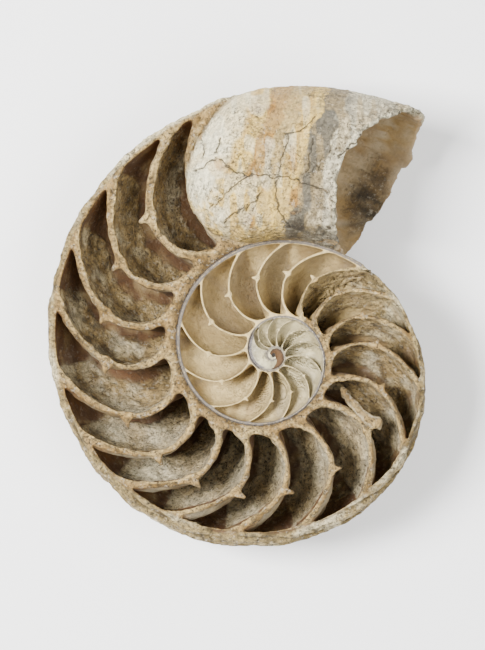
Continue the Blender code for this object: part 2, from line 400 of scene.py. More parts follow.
def add_stub(void, lines):
    for (x0, y0, r0), (x1, y1, r1) in zip(STUB[:-1], STUB[1:]):
        centre = (0.5 * (x0 + x1), 0.5 * (y0 + y1), -STUB_DEPTH)
        run = (x1 - x0, y1 - y0)
        length = math.hypot(*run)
        window, local = window_around(lines, centre, 0.5 * length + 3.0)
        if window is None:
            continue
        along = np.clip((local[0] * run[0] + local[1] * run[1]) / length ** 2 + 0.5, 0.0, 1.0)
        east, north = (local[axis] - (along - 0.5) * run[axis] for axis in range(2))
        gap = np.sqrt(east ** 2 + north ** 2 + (local[2] * 0.6) ** 2)
        gap = gap + 0.55 * FINE(*local) + 0.3 * GRIT(*local)
        void[window] = smooth_min(void[window], (gap - r0 - (r1 - r0) * along).astype(np.float32), 0.8)


def stub_near(x, y, z):
    """1 on the broken length of siphuncle."""
    gap = np.full(x.shape, 99.0, np.float32)
    for (x0, y0, _), (x1, y1, _) in zip(STUB[:-1], STUB[1:]):
        run = (x1 - x0, y1 - y0)
        along = np.clip(((x - x0) * run[0] + (y - y0) * run[1]) / (run[0] ** 2 + run[1] ** 2), 0.0, 1.0)
        gap = np.minimum(gap, np.hypot(x - x0 - along * run[0], y - y0 - along * run[1]))
    return ease(3.2, 2.2, gap + 0.3 * np.abs(z + STUB_DEPTH)) * ease(-0.5, -1.2, z)


def dome_form(coil, z):
    """1 on the near wall's outer skin and less inside it, with the place across the whorl."""
    rho, turn, low = coil.rho, coil.theta, coil.radii[1]
    across = np.clip((rho - low) / (coil.radii[0] - low), 0.0, 1.6)
    side = np.abs(2.0 * across ** 0.72 - 1.0) + np.maximum(low - rho, 0.0) * 0.15
    sweep, _ = septum_sweep(np.clip(across, 0.0, 1.0))
    back = SEPTA[0] - LAST_SEPTUM_SHARE * sweep + 1.6
    behind = np.maximum((turn - DOME_MIDDLE) / (back - DOME_MIDDLE), 0.0)
    behind = np.where(turn > 300.0, 9.0, behind)
    lift = np.maximum(z, 0.0) / DOME_HEIGHT
    form = (side ** DOME_POWER + lift ** DOME_POWER + behind ** (DOME_POWER + 0.6)) ** (1.0 / DOME_POWER)
    return form, across


def near_lip(across):
    return NEAR_LIP + NEAR_LIP_BACK * np.maximum(np.sin(math.pi * np.clip(across, 0.0, 1.0)), 0.0) ** 0.8


def cut_relief(coil, walls, void):
    """How far the worn saw cut lies below its plane: hollow between the walls, round over the first whorl."""
    worn = np.clip(WORN_SHARE * (-void - WORN_FROM), 0.0, WORN_MOST)
    worn = np.where(walls.unswept < INNER_WHORLS, worn, 0.0)
    across = np.clip(coil.across, 0.0, 1.0)
    seam = SEAM_DEPTH * coil.outer * (1.0 - np.sqrt(np.maximum(np.sin(math.pi * across), 0.0)))
    return worn + seam * ease(FIRST_CHAMBER - 10.0, FIRST_CHAMBER + 10.0, walls.unswept)


def shell_field(x, y, z):
    """Distance-like field over a grid, below 0 in the shell, with the septa's place along the coil."""
    coil = coil_places(x, y, z)
    walls = hollow_walls(coil, x, y, z)
    void = hollow(coil, walls)
    lines = [line.ravel() for line in (x, y, z)]
    add_necks(void, lines)
    add_stub(void, lines)
    dip, shape = coil.dip, coil.shape
    lumps = 0.45 * BROAD(x, y, z) + 0.30 * WIDE(x, y, z)
    ragged = 1.1 * WIDE(x, y, z) + 0.7 * MEDIUM(x, y, z)
    navel = ease(NAVEL_START, 90.0, dip)
    skin = coil.outer * shape
    skin = coil.reach - skin - (NAVEL_DEPTH - skin) * navel
    skin = np.where(coil.whorl < 1, skin, -5.0)
    far_lip = FAR_LIP - FAR_LIP_FORWARD * np.sin(2.0 * RADIAN * np.clip(dip, 0.0, 90.0))
    before = (far_lip - coil.theta) * RADIAN * coil.rho + ragged
    below = coil.radii[1] * shape
    below = coil.reach - below - (NAVEL_DEPTH - below) * navel
    whole = np.maximum(skin, np.minimum(below, before)) + lumps - 0.05
    cut = z + cut_relief(coil, walls, void) + 0.06 * FINE(x, y, z) + 0.05 * MEDIUM(x, y, z)
    whole = smooth_max(whole, cut, 0.35)
    if float(z.max()) > 0.5:
        form, across = dome_form(coil, z)
        lip = (near_lip(across) - coil.theta) * RADIAN * coil.rho + ragged
        dome = np.maximum((form - 1.0) * FORM_IN_MM, lip)
        whole = smooth_min(whole, np.maximum(dome + 0.6 * lumps, -DOME_ROOT - z), 0.8)
        roof = (1.0 - DOME_WALL - form) * FORM_IN_MM
        under = np.minimum(void, roof + 1.2 * np.maximum(-1.0 - z, 0.0))
        mixed = under + (roof - under) * ease(-1.5, 1.0, z)
        void = np.where((walls.in_body | (z > 0.0)) & (coil.theta < DOME_END), mixed, void)
    blend = np.clip(0.016 * coil.outer, 0.08, 0.9)
    return smooth_max(whole, void, blend).astype(np.float32), walls.unswept


def surface_net(field, origin, step):
    """Turns the field's zero surface into points and quads, one point in each cell that it crosses."""
    inside = field < 0.0
    shape = tuple(count - 1 for count in field.shape)
    corners = [(a, b, c) for a in (0, 1) for b in (0, 1) for c in (0, 1)]
    count = np.zeros(shape, np.uint8)
    for a, b, c in corners:
        count += inside[a:a + shape[0], b:b + shape[1], c:c + shape[2]]
    active = (count > 0) & (count < 8)
    cells = np.argwhere(active)
    number = np.full(shape, -1, np.int32)
    number[active] = np.arange(len(cells), dtype=np.int32)
    values = [field[cells[:, 0] + a, cells[:, 1] + b, cells[:, 2] + c] for a, b, c in corners]
    total = np.zeros((len(cells), 3))
    crossings = np.zeros(len(cells))
    for one, first in enumerate(corners):
        for two, second in enumerate(corners):
            if two <= one or sum(abs(p - q) for p, q in zip(first, second)) != 1:
                continue
            cross = (values[one] < 0.0) != (values[two] < 0.0)
            share = np.where(cross, values[one] / np.where(cross, values[one] - values[two], 1.0), 0.0)
            for axis in range(3):
                total[:, axis] += np.where(cross, first[axis] + share * (second[axis] - first[axis]), 0.0)
            crossings += cross
    points = (cells + total / crossings[:, None]) * step + np.array(origin)
    return points, np.concatenate([net_quads(inside, number, axis) for axis in range(3)])


def net_quads(inside, number, axis):
    """One quad around each grid edge along this axis that the surface crosses."""
    one, two = (axis + 1) % 3, (axis + 2) % 3
    low = [slice(None)] * 3
    high = [slice(None)] * 3
    low[axis], high[axis] = slice(0, -1), slice(1, None)
    start = inside[tuple(low)]
    where = np.argwhere(start != inside[tuple(high)])
    keep = (where[:, one] > 0) & (where[:, two] > 0)
    keep &= (where[:, one] < inside.shape[one] - 1) & (where[:, two] < inside.shape[two] - 1)
    where = where[keep]
    ring = []
    for step_one, step_two in ((-1, -1), (0, -1), (0, 0), (-1, 0)):
        cell = where.copy()
        cell[:, one] += step_one
        cell[:, two] += step_two
        ring.append(number[cell[:, 0], cell[:, 1], cell[:, 2]])
    ring = np.stack(ring, axis=1)
    outward = start[where[:, 0], where[:, 1], where[:, 2]]
    ring[~outward] = ring[~outward][:, ::-1]
    return ring


def evened(points, quads):
    """Takes the grid's ripple out of the points, without shrinking the shape."""
    ends = np.concatenate([quads[:, [corner, (corner + 1) % 4]] for corner in range(4)])
    one, two = ends[:, 0], ends[:, 1]
    size = len(points)
    count = np.maximum(np.bincount(one, minlength=size) + np.bincount(two, minlength=size), 1)
    for share in (0.5, -0.52, 0.5, -0.52):
        total = [
            np.bincount(one, points[two, axis], size) + np.bincount(two, points[one, axis], size)
            for axis in range(3)
        ]
        points = points + share * (np.stack(total, axis=1) / count[:, None] - points)
    return points


def blurred(values):
    for axis in range(3):
        values = (np.roll(values, 1, axis) + values + np.roll(values, -1, axis)) / 3.0
    return values


def net_mesh(name, points, quads):
    mesh = bpy.data.meshes.new(name)
    mesh.vertices.add(len(points))
    mesh.vertices.foreach_set("co", (points * MM).astype(np.float32).ravel())
    mesh.loops.add(len(quads) * 4)
    mesh.loops.foreach_set("vertex_index", quads.astype(np.int32).ravel())
    mesh.polygons.add(len(quads))
    mesh.polygons.foreach_set("loop_start", np.arange(0, len(quads) * 4, 4, dtype=np.int32))
    mesh.polygons.foreach_set("loop_total", np.full(len(quads), 4, np.int32))
    mesh.update(calc_edges=True)
    mesh.validate()
    return mesh


def mesh_points(mesh, source, key, scale):
    values = np.empty(len(mesh.vertices) * 3, np.float32)
    source.foreach_get(key, values)
    return values.reshape(-1, 3) * scale


def thinned(piece, most):
    """The piece's mesh brought down to this number of triangles."""
    triangles = 2 * len(piece.data.polygons)
    if triangles <= most:
        return
    modifier = piece.modifiers.new("thin", "DECIMATE")
    modifier.ratio = most / triangles
    mesh = bpy.data.meshes.new_from_object(piece.evaluated_get(bpy.context.evaluated_depsgraph_get()))
    piece.modifiers.clear()
    mesh.validate()
    piece.data = mesh


def coil_to_row():
    tilt = Euler([math.radians(angle) for angle in LAID_TILT]).to_matrix().to_4x4()
    return Matrix.Translation(Vector(COIL_AT) * MM) @ tilt


def zones(points):
    """Names each vertex by the surface that it lies on, as shares between 0 and 1."""
    x, y, z = (points[:, axis].astype(np.float32) for axis in range(3))
    coil = coil_places(x, y, z)
    walls = hollow_walls(coil, x, y, z)
    form, across = dome_form(coil, z)
    near = np.minimum.reduce([walls.front, walls.back, walls.inside, walls.outside, walls.floor])
    sunk = cut_relief(coil, walls, near)
    under_wall = (coil.whorl < 1) & (coil.theta < 120.0) & (np.abs(form - 0.95) < 0.09)
    below = np.where(under_wall, 1.0, ease(-0.25, -0.9, z + sunk))
    on_dome = np.where(under_wall, ease(-0.4, 0.4, z), ease(0.4, 1.2, z))
    dome_out = on_dome * ease(0.93, 0.965, form)
    skin = coil.reach - coil.outer * coil.shape
    rind = skin + 0.5 * MEDIUM(x, y, z)
    rind = np.where(walls.in_body, ease(-1.3, -0.9, skin), ease(-2.0, -1.1, rind))
    outside = np.where(coil.whorl < 1, rind, 0.0) * (1.0 - on_dome)
    outside = np.maximum(outside, ease(74.0, 78.0, coil.dip))
    body = np.where(walls.in_body, 1.0, 0.0) * (1.0 - outside)
    body = np.maximum(body * below * (1.0 - on_dome), on_dome * (1.0 - dome_out))
    in_hollow = below * (1.0 - outside) * (1.0 - body)
    concave = in_hollow * ease(0.35, -0.1, walls.back - near)
    convex = in_hollow * ease(0.35, -0.1, walls.front - near) * (1.0 - concave)
    sawn = (1.0 - below) * (1.0 - on_dome) * (1.0 - 0.999 * outside)
    return Places(
        x=x, y=y, z=z, coil=coil, walls=walls, across=across, dome=dome_out, outside=outside, body=body,
        concave=concave, convex=convex, sawn=sawn, banded=outside * ease(140.0, 124.0, coil.theta),
        late=ease(428.0, 420.0, walls.unswept), smooth=bare_flank(x, y, z, coil.outer),
    )


def bare_flank(x, y, z, outer):
    """1 where a chamber shows its smooth brown flank: deep down, on the side of the septum in front."""
    flat = coil_places(x, y, 0.0 * z)
    sweep, _ = septum_sweep(np.clip(flat.across, 0.0, 1.0))
    unswept = flat.turn + sweep
    septa = np.array((SEPTA[0] - 20.0,) + SEPTA + (SEPTA[-1] + 30.0,), np.float32)
    number = np.clip(np.searchsorted(septa, unswept), 1, len(septa) - 1)
    share = (unswept - septa[number - 1]) / (septa[number] - septa[number - 1])
    share = share + 0.3 * (flat.across - 0.45) + 0.10 * WIDE(z, x, y) + 0.06 * FINE(x, y, z)
    edge = 0.38 - 0.10 * ease(0.0, -25.0, y)
    return ease(edge + 0.05, edge - 0.05, share) * ease(0.05, 0.09, -z / outer)


def outside_layers(zone):
    """The flaking layers of the outside, drawn out along the coil."""
    coil = zone.coil
    return LAYERS(coil.turn * RADIAN * coil.outer / 4.5, zone.z, coil.rho / 1.3)


def past_near_lip(zone):
    """How far behind the near wall's lip a point is."""
    return (zone.coil.theta - near_lip(zone.across)) * RADIAN * zone.coil.rho


def flaky_share(zone):
    """1 along the near wall's lip, where it breaks off in plates."""
    return ease(10.0, 3.0, past_near_lip(zone))


def seen_from_camera(zone):
    """Where the camera sees a point, measured on the saw cut's plane."""
    grown = CAMERA_AWAY / (CAMERA_AWAY - zone.z)
    return (
        PHOTO_MIDDLE[0] + (zone.x - PHOTO_MIDDLE[0]) * grown,
        PHOTO_MIDDLE[1] + (zone.y - PHOTO_MIDDLE[1]) * grown,
    )


def crack_marks(x, y):
    """How far beside the nearest crack each point is, with a sign, and how far past the crack's end."""
    nearest = np.full(x.shape, 99.0, np.float32)
    beside = nearest.copy()
    past = nearest.copy()
    for line in CRACKS:
        last = len(line) - 2
        for number, ((x0, y0), (x1, y1)) in enumerate(zip(line[:-1], line[1:])):
            run = (x1 - x0, y1 - y0)
            length = math.hypot(*run)
            along = ((x - x0) * run[0] + (y - y0) * run[1]) / length ** 2
            share = np.clip(along, 0.0, 1.0)
            away = np.hypot(x - x0 - share * run[0], y - y0 - share * run[1])
            side = np.sign(run[0] * (y - y0) - run[1] * (x - x0))
            over = np.full(x.shape, -2.0, np.float32)
            if number == 0:
                over = np.maximum(over, -along * length)
            if number == last:
                over = np.maximum(over, (along - 1.0) * length)
            closer = away < nearest
            nearest = np.where(closer, away, nearest)
            beside = np.where(closer, side * away, beside)
            past = np.where(closer, over, past)
    return beside, past


def roughened(mesh):
    """Moves the vertices along their normals: flaking layers outside, crust on the septa, sunken cracks."""
    points = mesh_points(mesh, mesh.vertices, "co", 1.0 / MM)
    normals = mesh_points(mesh, mesh.vertex_normals, "vector", 1.0)
    zone = zones(points)
    x, y, z = zone.x, zone.y, zone.z
    foot = ease(-15.0, -40.0, y)
    medium, fine, grit = MEDIUM(x, y, z), FINE(x, y, z), GRIT(x, y, z)
    flakes = np.tanh(5.0 * outside_layers(zone))
    move = zone.outside * ((0.22 + 0.40 * foot) * flakes + 0.30 * medium + 0.22 * fine + 0.12 * grit - 0.3)
    crust = 0.45 * medium + 0.30 * fine + 0.18 * grit
    move += zone.late * (zone.concave * (1.0 - zone.smooth) * crust + zone.convex * 0.4 * crust)
    move += zone.late * zone.sawn * (0.16 * fine + 0.14 * grit)
    seen = seen_from_camera(zone)
    beside, past = crack_marks(seen[0] + 0.6 * FINE(x, y, z), seen[1] + 0.6 * FINE(y, z, x))
    crack = ease(0.55, 0.1, np.abs(beside)) * ease(0.4, 0.0, past)
    flaky = flaky_share(zone)
    plates = 0.28 * WIDE(x, y, z) + (0.12 + 0.25 * flaky) * fine
    plates += 0.45 * flaky * np.tanh(5.0 * MEDIUM(y, z, x))
    move += zone.dome * (plates + 0.12 * grit - 0.55 * crack - 0.15)
    points = (points + normals * move[:, None]) * MM
    mesh.vertices.foreach_set("co", points.astype(np.float32).ravel())
    mesh.update()


def rgb(red, green, blue):
    """A colour as it looks on a screen, from 0 to 255, as the light that it reflects."""
    return (np.array((red, green, blue), np.float32) / 255.0) ** 2.2


CREAM = rgb(184, 160, 112)
SAWN = rgb(150, 124, 82)
SAWN_DARK = rgb(112, 88, 50)
CRUST = rgb(150, 128, 88)
CRUST_DARK = rgb(84, 66, 38)
CRUST_PALE = rgb(200, 188, 156)
# The smooth flank's own brown, made darker as painted shade under the septum in front; the body chamber's
# blotches use it too.
FLANK_BROWN = rgb(72, 45, 27)
# Brown of the near wall's stains, and also painted shade in the chambers' corners.
STAIN_AND_CORNER_SHADE = rgb(104, 68, 28)
INNER_CREAM = rgb(178, 156, 110)
INNER_TAN = rgb(140, 118, 84)
INNER_EDGE = rgb(192, 170, 124)
NACRE = rgb(146, 138, 110)
NACRE_PALE = rgb(190, 180, 146)
VIOLET = rgb(100, 93, 88)
RIM = rgb(142, 124, 86)
RIM_DARK = rgb(72, 58, 32)
RIM_PALE = rgb(196, 184, 150)
CHALK = rgb(212, 204, 174)
FLANK_CREAM = rgb(200, 170, 100)
ORANGE = rgb(150, 112, 60)
TAN = rgb(166, 144, 100)
GREY = rgb(90, 86, 76)
LIP_GREY = rgb(192, 184, 160)
DIRT = rgb(44, 36, 20)
# The body chamber's beige, partly painted shade: it is as dark as the inside looks in the near wall's shade.
BODY_BEIGE = rgb(132, 108, 70)
BODY_DARK = rgb(46, 37, 20)


# Colours that the material lays over the vertices' own, as linear light.
FLECK_PALE = (0.58, 0.52, 0.40, 1.0)
SPECK_DARK = (0.06, 0.042, 0.022, 1.0)
VEIN_DARK = (0.05, 0.038, 0.02, 1.0)
LINE_DARK = (0.085, 0.075, 0.072, 1.0)
COMMA_BROWN = (0.072, 0.034, 0.010, 1.0)
# Painted shade of the small hole at the head of the first chamber's comma.
HOLE_DARK = (0.012, 0.008, 0.004, 1.0)
CRACK_DARK = (0.045, 0.036, 0.022, 1.0)


def layered(colour, *layers):
    """Lays other colours over a colour in turn, each by its share at each vertex."""
    colour = np.asarray(colour, np.float32)
    for other, share in layers:
        colour = colour + (np.asarray(other, np.float32) - colour) * np.clip(share, 0.0, 1.0)[:, None]
    return colour


def patch(x, y, at, wide, tall):
    """1 in the middle of a soft patch and 0 outside it."""
    return ease(1.3, 0.5, np.hypot((x - at[0]) / wide, (y - at[1]) / tall))


# The near wall's bands, from and to across its lines of growth, and its patches: middle, wide and tall.
WALL_BANDS = (
    (-14.5, -12.0, ORANGE, 0.35), (-8.0, -3.2, ORANGE, 0.9), (-3.2, 2.4, TAN, 0.9), (2.8, 4.2, ORANGE, 0.45),
    (7.6, 14.4, GREY, 0.95), (14.4, 60.0, LIP_GREY, 0.9),
)
WALL_PATCHES = (
    ((-18.7, 63.0), 5.0, 5.0, CHALK, 0.9), ((-22.0, 51.0), 4.5, 6.5, CHALK, 0.9),
    ((-17.0, 42.5), 3.0, 4.0, CHALK, 0.7), ((6.0, 58.5), 1.2, 4.0, ORANGE, 0.8),
    ((6.5, 47.0), 2.2, 5.0, ORANGE, 0.9), ((-2.6, 50.0), 1.4, 2.6, ORANGE, 0.6),
    ((-7.2, 40.6), 1.6, 3.6, ORANGE, 0.9), ((-12.6, 46.5), 2.2, 2.0, FLANK_CREAM, 0.6),
    ((-16.5, 57.5), 1.6, 2.2, ORANGE, 0.6), ((-10.0, 61.0), 2.0, 7.0, FLANK_CREAM, 0.7),
    ((0.4, 73.2), 1.3, 1.6, STAIN_AND_CORNER_SHADE, 0.6), ((-4.6, 74.0), 1.0, 1.2, STAIN_AND_CORNER_SHADE, 0.7),
    ((1.5, 76.0), 6.0, 2.4, ORANGE, 0.5), ((20.0, 74.0), 6.0, 4.0, GREY, 0.7),
    ((13.0, 46.0), 3.4, 6.0, GREY, 0.8), ((22.0, 66.0), 3.0, 6.0, CHALK, 0.4),
    ((10.5, 37.8), 5.0, 1.8, DIRT, 0.85), ((8.0, 39.5), 2.6, 2.4, DIRT, 0.6),
    ((3.0, 65.9), 1.6, 0.8, DIRT, 0.5),
)


def wall_growth(x, y):
    """Across the near wall's lines of growth, which lean a little from upright."""
    return x - 0.34 * (y - 54.0)


def dome_colour(zone, broad, medium, fine):
    """The near wall: leaning bands of growth, from chalky at the back to grey and flaky at the lip."""
    x, y = seen_from_camera(zone)
    band = wall_growth(x, y) + 1.0 * broad + 0.9 * medium + 0.5 * fine
    colour = layered(CHALK, (FLANK_CREAM, 0.35 + 0.65 * ease(-16.0, -12.0, band)))
    for start, end, other, share in WALL_BANDS:
        inside = ease(start - 0.3, start + 0.3, band) * ease(end + 0.3, end - 0.3, band)
        colour = layered(colour, (other, share * inside))
    low = ease(53.3, 52.5, y + 0.4 * medium) * ease(9.5, 8.5, band)
    colour = layered(colour, (FLANK_CREAM, 0.8 * low))
    wobble = 1.0 + 0.5 * medium + 0.4 * fine
    for at, wide, tall, other, share in WALL_PATCHES:
        colour = layered(colour, (other, share * patch(x, y, at, wide * wobble, tall * wobble)))
    sheets = np.tanh(4.0 * MEDIUM(x * 1.3, y * 0.45, 0.0 * x))
    flakes = flaky_share(zone) * ease(0.0, 0.5, fine - 0.4 * medium)
    dusty = ease(0.25, 0.8, fine) * ease(43.5, 39.5, y + 1.5 * medium)
    base = ease(40.0, 36.0, y + 1.5 * medium) * ease(4.0, 9.0, x + 2.0 * fine)
    foot = ease(5.0, 1.0, zone.z) * ease(-6.0, -12.0, x) * ease(-0.5, 0.5, zone.z)
    return layered(
        colour,
        (CHALK, 0.5 * ease(0.2, 0.9, sheets) * ease(8.0, 2.0, band)),
        (TAN, 0.45 * ease(0.2, 0.9, -sheets) * ease(-14.0, -8.0, band)),
        (RIM_DARK, 0.55 * flakes),
        (DIRT, 0.6 * dusty),
        (CHALK, 0.7 * ease(2.2, 0.6, past_near_lip(zone))),
        (DIRT, 0.75 * base),
        (VIOLET, 0.55 * foot),
    )


def body_stain(x, y, broad, medium):
    """The dark stain low in the body chamber, with a tail that runs up beside the lip."""
    low = patch(x, y, (27.5 + 1.5 * broad, 45.0 + 1.5 * medium), 6.0, 8.5)
    return np.maximum(low, 0.7 * patch(x, y, (30.5 + 1.5 * broad, 53.0 + 1.5 * medium), 3.5, 7.0))


def body_colour(zone, broad, medium, fine):
    """The inside of the body chamber: beige with painted shade in it, with faint streaks and one dark stain.
    """
    x, y = seen_from_camera(zone)
    streaks = LAYERS(zone.coil.theta * 0.9, zone.coil.across * 2.0, 0.0 * x)
    return layered(
        BODY_BEIGE,
        (LIP_GREY, 0.15 + 0.25 * streaks),
        (FLANK_BROWN, 0.3 * ease(-0.2, 0.6, broad)),
        (BODY_DARK, 0.95 * body_stain(x, y, broad, medium) * (0.85 + 0.5 * fine)),
        (BODY_DARK, 0.5 * ease(0.6, 0.8, fine)),
    )


def crust_colour(broad, medium, fine):
    """The dirty crust of the outer chambers, mottled from nearly white to dark brown."""
    return layered(
        CRUST,
        (CRUST_DARK, 0.7 * ease(0.0, 0.6, medium + 0.5 * broad)),
        (CRUST_PALE, 0.75 * ease(0.0, 0.7, broad - 0.6 * medium)),
        (CRUST_PALE, 0.45 * ease(0.2, 0.8, fine - 0.3 * medium)),
    )


def inner_colour(zone, broad, medium, fine):
    """The inner whorls' chambers: clean and beige, with folds of cream and painted violet shade between them,
    then mother-of-pearl.
    """
    walls = zone.walls
    folds = MEDIUM(walls.back * 2.2 + 0.8 * fine, zone.coil.across * 6.0, walls.unswept * 0.06)
    nacre = layered(NACRE, (NACRE_PALE, 0.5 + 0.8 * medium))
    return layered(
        INNER_TAN,
        (INNER_CREAM, 0.35 + 0.3 * zone.concave + 0.4 * broad),
        (INNER_EDGE, 0.75 * ease(0.15, 0.5, folds)),
        # Painted shade: violet between the cream folds, which have no relief of their own.
        (VIOLET, 0.35 * ease(0.15, 0.6, -folds)),
        (INNER_EDGE, 0.4 * ease(-2.0, -0.2, zone.z) * zone.concave),
        (CRUST_DARK, 0.3 * ease(0.45, 0.85, medium)),
        (nacre, 0.8 * ease(600.0, 720.0, walls.unswept)),
    )


def hollow_colour(zone, broad, medium, fine):
    """The chambers: crusted septa and smooth brown flanks outside, clean ones inside, with painted shade in
    the corners and painted light on the lower chambers' crust.
    """
    walls = zone.walls
    crust = crust_colour(broad, medium, fine)
    # Painted light: the crust grows paler towards the bottom of the cut, where the lower chambers lie in
    # shade.
    pale = layered(crust, (CRUST_PALE, 0.75 * ease(-8.0, -32.0, zone.y) * (0.7 + 0.6 * broad)))
    facing = np.maximum(zone.concave, 0.7 * zone.convex) * (1.0 - zone.smooth)
    # Painted shade: darker brown in each chamber's corner between the outer wall and the septum in front.
    corner = ease(4.5, 1.5, walls.outside + 2.0 * broad) * ease(6.0, 2.0, walls.front)
    # The base, FLANK_BROWN, is the flank's brown with painted shade of the septum in front in it.
    colour = layered(
        FLANK_BROWN,
        (crust, 0.06 + 0.25 * medium),
        (pale, facing),
        (STAIN_AND_CORNER_SHADE, 0.7 * corner),
        (DIRT, 0.5 * ease(0.35, 0.9, fine + 0.4 * medium) * zone.concave),
        (pale, 0.9 * stub_near(zone.x, zone.y, zone.z)),
    )
    crusted = ease(430.0, 350.0, walls.unswept) + 0.6 * medium * zone.late
    return layered(inner_colour(zone, broad, medium, fine), (colour, crusted))


def sawn_colour(zone, broad, medium, fine):
    """The saw cut: tan, paler along the back of each septum and dirty where it is worn hollow."""
    walls = zone.walls
    pale = ease(-1.0, -0.7, walls.back) * ease(0.1, -0.2, walls.back)
    solid = -np.minimum.reduce([walls.front, walls.back, walls.inside, walls.outside])
    outer = layered(
        SAWN,
        (SAWN_DARK, 0.25 + 0.6 * medium + 0.4 * fine),
        (CREAM, 0.7 * np.maximum(pale, ease(0.2, 0.8, broad))),
        (CRUST_DARK, 0.8 * ease(0.9, 2.4, solid + 0.8 * medium + 0.7 * fine)),
    )
    return layered(
        INNER_EDGE,
        (INNER_CREAM, 0.3 + 0.4 * medium),
        (NACRE_PALE, 0.6 * ease(640.0, 720.0, walls.unswept)),
        (outer, zone.late),
    )


def seam_gap(coil):
    """Distance from the dark line of the wall between two whorls."""
    seams = [(coil.equal - coil.radii[number]) * coil.shape for number in (1, 2, 3)]
    return np.minimum.reduce([np.abs(seam + WALL_LINE_IN) for seam in seams])


def outside_colour(zone, broad, medium, fine):
    """The rough outside: layers worn pale and dark, with faint bands left on the flank."""
    coil = zone.coil
    layers = outside_layers(zone)
    stripes = LAYERS(coil.turn * RADIAN * 9.0 + 0.4 * broad, coil.dip / 60.0, 0.0 * broad)
    flank = ease(5.0, 25.0, coil.dip) * ease(75.0, 45.0, coil.dip)
    return layered(
        RIM,
        (RIM_DARK, 0.8 * ease(0.0, -0.5, layers + 0.5 * medium)),
        (RIM_PALE, 0.75 * ease(0.0, 0.7, broad + 0.6 * fine)),
        (RIM_DARK, 0.7 * ease(0.4, 0.8, fine - 0.3 * broad)),
        (ORANGE, 0.4 * ease(0.15, 0.6, stripes) * flank),
    )


def nucleus_colour(colour, zone, medium):
    """The first whorl: silvery, with painted shade towards its outer side and a grey seam."""
    across = zone.coil.across
    first = ease(FIRST_CHAMBER - 8.0, FIRST_CHAMBER + 8.0, zone.walls.unswept) * ease(-5.0, -3.0, zone.z)
    silver = layered(
        NACRE,
        (NACRE_PALE, 0.45 + 0.8 * medium),
        # Painted shade: greyer towards the outer side of the rounded first whorl.
        (VIOLET, 0.6 * ease(0.45, 0.95, across)),
        (VIOLET, 0.8 * ease(0.25, 0.05, np.minimum(across, 1.0 - across))),
    )
    return layered(colour, (silver, first))


def growth_lines(zone):
    """Across the fine layers of each surface: along the coil outside, with depth in the chambers."""
    coil = zone.coil
    seen = seen_from_camera(zone)
    growth = np.where(zone.outside > 0.5, 1.4 * zone.z, 0.8 * zone.z) * zone.late
    growth = np.where(zone.sawn > 0.5, 0.8 * zone.walls.front.clip(-3.0, 3.0), growth)
    growth = np.where(zone.body > 0.5, coil.theta * RADIAN * 60.0, growth)
    return np.where(zone.dome > 0.5, wall_growth(*seen), growth)


def grain_and_gloss(zone):
    """How rough and how glossy each surface is."""
    late, unswept = zone.late, zone.walls.unswept
    crumbly = (0.35 + 0.65 * zone.concave) * (1.0 - 0.75 * zone.smooth)
    grain = late * (crumbly + 0.75 * zone.sawn)
    grain = np.maximum(grain, late * stub_near(zone.x, zone.y, zone.z)) + (1.0 - late) * 0.22
    grain = np.maximum(grain, zone.outside)
    worn = ease(-0.3, 0.5, WIDE(zone.z, zone.x, zone.y))
    grain = np.where(zone.dome > 0.5, 0.5 + 0.5 * worn + 0.5 * flaky_share(zone), grain)
    stain = body_stain(*seen_from_camera(zone), WIDE(zone.y, zone.z, zone.x), 0.0)
    grain = np.where(zone.body > 0.5, 0.15 + 0.75 * stain, grain)
    gloss = (1.0 - late) * (0.35 + 0.50 * ease(600.0, 720.0, unswept))
    gloss = np.where(zone.coil.rho < 4.5, 0.1, gloss)
    return grain, np.where((zone.dome > 0.5) | (zone.body > 0.5), 0.25, gloss)


def painted(mesh):
    """Writes each vertex's colour and the other values that the material reads."""
    points = mesh_points(mesh, mesh.vertices, "co", 1.0 / MM)
    zone = zones(points)
    x, y, z = zone.x, zone.y, zone.z
    broad, medium, fine = WIDE(y, z, x), MEDIUM(y, z, x), FINE(y, z, x)
    banded = 0.9 * zone.banded * ease(-15.0, -3.0, z + 4.0 * broad + 1.5 * fine)
    colour = layered(
        hollow_colour(zone, broad, medium, fine),
        (sawn_colour(zone, broad, medium, fine), zone.sawn),
        (body_colour(zone, broad, medium, fine), zone.body),
        (outside_colour(zone, broad, medium, fine), zone.outside),
        (dome_colour(zone, broad, medium, fine), np.maximum(zone.dome, banded)),
    )
    colour = nucleus_colour(colour, zone, medium)
    grain, gloss = grain_and_gloss(zone)
    seen = seen_from_camera(zone)
    beside, past = crack_marks(seen[0] + 0.6 * FINE(x, y, z), seen[1] + 0.6 * FINE(y, z, x))
    past = np.where(zone.dome > 0.5, past, 9.0)
    tint = np.ones((len(points), 4), np.float32)
    tint[:, :3] = np.clip(colour, 0.0, 1.0)
    mesh.attributes.new("tint", "FLOAT_COLOR", "POINT").data.foreach_set("color", tint.ravel())
    values = {
        "grain": grain, "gloss": gloss, "beside": beside, "past": past, "growth": growth_lines(zone),
        "seam": seam_gap(zone.coil) + 9.0 * ease(960.0, 1000.0, zone.walls.unswept),
        "sawn": zone.sawn, "east": x, "north": y,
    }
    for name in MARKS:
        mesh.attributes.new(name, "FLOAT", "POINT").data.foreach_set("value", values[name].astype(np.float32))


def kept_inside(mesh):
    """Holds the vertices inside the plain part's box and above the floor."""
    low, high = (np.array(corner, np.float32) for corner in CAD_BOX)
    points = mesh_points(mesh, mesh.vertices, "co", 1.0)
    points = np.clip(points, low + BOX_MARGIN, high - BOX_MARGIN)
    mesh.vertices.foreach_set("co", points.astype(np.float32).ravel())
    mesh.update()


